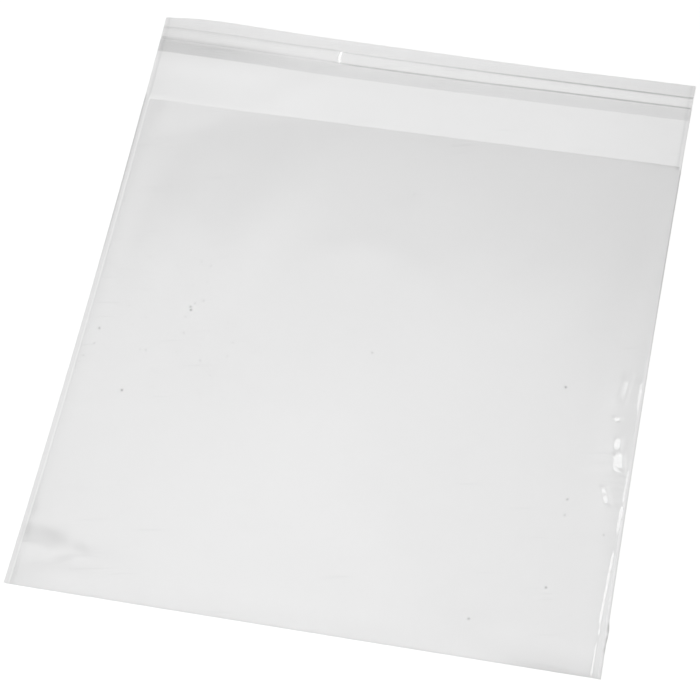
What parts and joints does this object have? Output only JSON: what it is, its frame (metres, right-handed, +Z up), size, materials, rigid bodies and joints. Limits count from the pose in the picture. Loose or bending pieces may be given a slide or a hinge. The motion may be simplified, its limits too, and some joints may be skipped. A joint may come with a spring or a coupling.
{
  "type": "clear film bag",
  "caption": "Flat clear film bag with a bottom fold, welded sides, an open mouth, and a flap with an adhesive strip under a peel-off liner.",
  "frame": {"origin": "middle of the bag's outline, on the surface that the bag lies on", "axes": "+X across the bag, +Y from the bottom fold to the flap, +Z up from the surface, out of the front layer"},
  "size_m": [0.155, 0.192, 0.0016],
  "materials": {
    "clear_film": "clear and glossy, slightly wavy",
    "tacky_adhesive": "clear, slightly milky",
    "clear_liner": "clear and glossy"
  },
  "bodies": {
    "root": {"film_pouch": "clear_film", "adhesive_strip": "tacky_adhesive", "release_liner": "clear_liner"}
  },
  "joints": []
}
